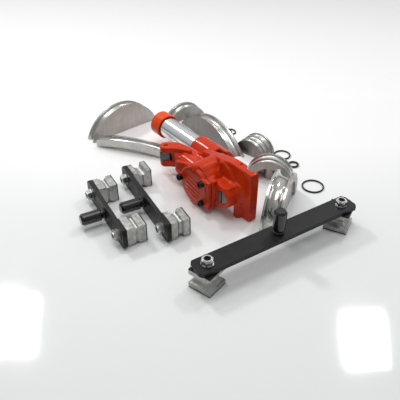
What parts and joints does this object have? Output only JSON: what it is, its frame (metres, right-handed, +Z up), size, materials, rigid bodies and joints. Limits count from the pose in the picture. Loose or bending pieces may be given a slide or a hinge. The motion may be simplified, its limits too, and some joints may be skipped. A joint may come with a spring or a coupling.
{
  "type": "hydraulic pipe bender",
  "caption": "Hand hydraulic pipe bender laid out as a kit: red lever pump with ram cylinder, flat carrier beams with grooved swivel blocks, grooved bending formers and loose seal rings.",
  "frame": {"origin": "floor level under the middle of the laid-out kit's box", "axes": "+X the way the ram pushes, +Z up, +Y to the left of the ram"},
  "size_m": [0.6119, 0.4986, 0.106],
  "materials": {
    "red_casting": "gloss enamel on cast iron",
    "red_cap": "gloss enamel",
    "red_cover": "gloss enamel on cast iron",
    "polished_tube": "polished",
    "brass": "machined, oiled",
    "ram_steel": "ground",
    "seal_rubber": "smooth",
    "spring_steel": "oiled",
    "black_screw": "black oxide",
    "dark_steel": "phosphated",
    "bright_steel": "ground",
    "black_steel": "satin black oxide",
    "zinc_plate": "zinc plated",
    "cast_aluminium": "cast, face milled",
    "former_aluminium": "cast, turned",
    "polished_aluminium": "polished"
  },
  "bodies": {
    "pump": {"housing": "red_casting", "cylinder_tube": "polished_tube", "end_cap": "red_cap", "gland_bush": "brass", "return_spring": "spring_steel", "tank_cover": "red_cover", "cover_gasket": "seal_rubber", "cover_screws": "black_screw", "filler_plug": "red_cover", "lever_pin": "bright_steel", "check_valves": "brass", "check_balls": "bright_steel", "beam1_bar": "black_steel", "beam1_pin": "black_steel", "beam1_bolts": "zinc_plate", "beam1_nuts": "zinc_plate", "beam2_bar": "black_steel", "beam2_pin": "black_steel", "beam2_bolts": "zinc_plate", "beam2_nuts": "zinc_plate", "beam3_bar": "black_steel", "beam3_pin": "black_steel", "beam3_bolts": "zinc_plate", "beam3_nuts": "zinc_plate", "former_a": "former_aluminium", "former_b": "former_aluminium", "former_c": "former_aluminium", "former_d": "former_aluminium", "former_e": "former_aluminium", "former_f": "former_aluminium", "former_g": "polished_aluminium", "ring_a": "seal_rubber", "ring_b": "seal_rubber", "ring_c": "seal_rubber", "ring_d": "seal_rubber", "ring_e": "seal_rubber"},
    "ram": {"ram": "ram_steel", "piston_seal": "seal_rubber"},
    "lever": {"lever_block": "dark_steel"},
    "plunger": {"plunger": "bright_steel"},
    "release_valve": {"release_valve": "dark_steel"},
    "beam1_block_a": {"beam1_block_a": "cast_aluminium", "beam1_plates_a": "black_steel"},
    "beam1_block_b": {"beam1_block_b": "cast_aluminium", "beam1_plates_b": "black_steel"},
    "beam2_block_a": {"beam2_block_a": "cast_aluminium", "beam2_plates_a": "black_steel"},
    "beam2_block_b": {"beam2_block_b": "cast_aluminium", "beam2_plates_b": "black_steel"},
    "beam3_block_a": {"beam3_block_a": "cast_aluminium", "beam3_plates_a": "black_steel"},
    "beam3_block_b": {"beam3_block_b": "cast_aluminium", "beam3_plates_b": "black_steel"}
  },
  "joints": [
    {"name": "ram_slide", "type": "slide", "parent": "pump", "child": "ram", "axis": [1, 0, 0], "range_m": [0, 0.09], "stiffness_N_per_m": 300, "deforming": ["return_spring"]},
    {"name": "lever_pivot", "type": "hinge", "parent": "pump", "child": "lever", "pos_m": [-0.06556, -0.01318, 0.046], "axis": [0, 0, 1], "range_deg": [-15, 15]},
    {"name": "plunger_slide", "type": "slide", "parent": "pump", "child": "plunger", "axis": [1, 0, 0], "range_m": [-0.0034, 0.0034]},
    {"name": "release_turn", "type": "hinge", "parent": "pump", "child": "release_valve", "pos_m": [0.12284, -0.01758, 0.046], "axis": [0, -1, 0], "range_deg": [0, 180]},
    {"name": "beam1_block_a_swivel", "type": "hinge", "parent": "pump", "child": "beam1_block_a", "pos_m": [-0.07019, -0.18182, 0.02], "axis": [-0.1693, -0.9856, 0], "continuous": true},
    {"name": "beam1_block_b_swivel", "type": "hinge", "parent": "pump", "child": "beam1_block_b", "pos_m": [0.06779, -0.20553, 0.02], "axis": [-0.1693, -0.9856, 0], "continuous": true},
    {"name": "beam2_block_a_swivel", "type": "hinge", "parent": "pump", "child": "beam2_block_a", "pos_m": [-0.07263, -0.10056, 0.02], "axis": [-0.1865, -0.9825, 0], "continuous": true},
    {"name": "beam2_block_b_swivel", "type": "hinge", "parent": "pump", "child": "beam2_block_b", "pos_m": [0.10225, -0.13376, 0.02], "axis": [-0.1865, -0.9825, 0], "continuous": true},
    {"name": "beam3_block_a_swivel", "type": "hinge", "parent": "pump", "child": "beam3_block_a", "pos_m": [0.24693, -0.1547, 0.02], "axis": [0, 0, 1], "continuous": true},
    {"name": "beam3_block_b_swivel", "type": "hinge", "parent": "pump", "child": "beam3_block_b", "pos_m": [0.27669, 0.13578, 0.02], "axis": [0, 0, 1], "continuous": true}
  ],
  "couplings": [
    {"joint": "plunger_slide", "follows": "lever_pivot", "m_per_rad": -0.012608}
  ]
}
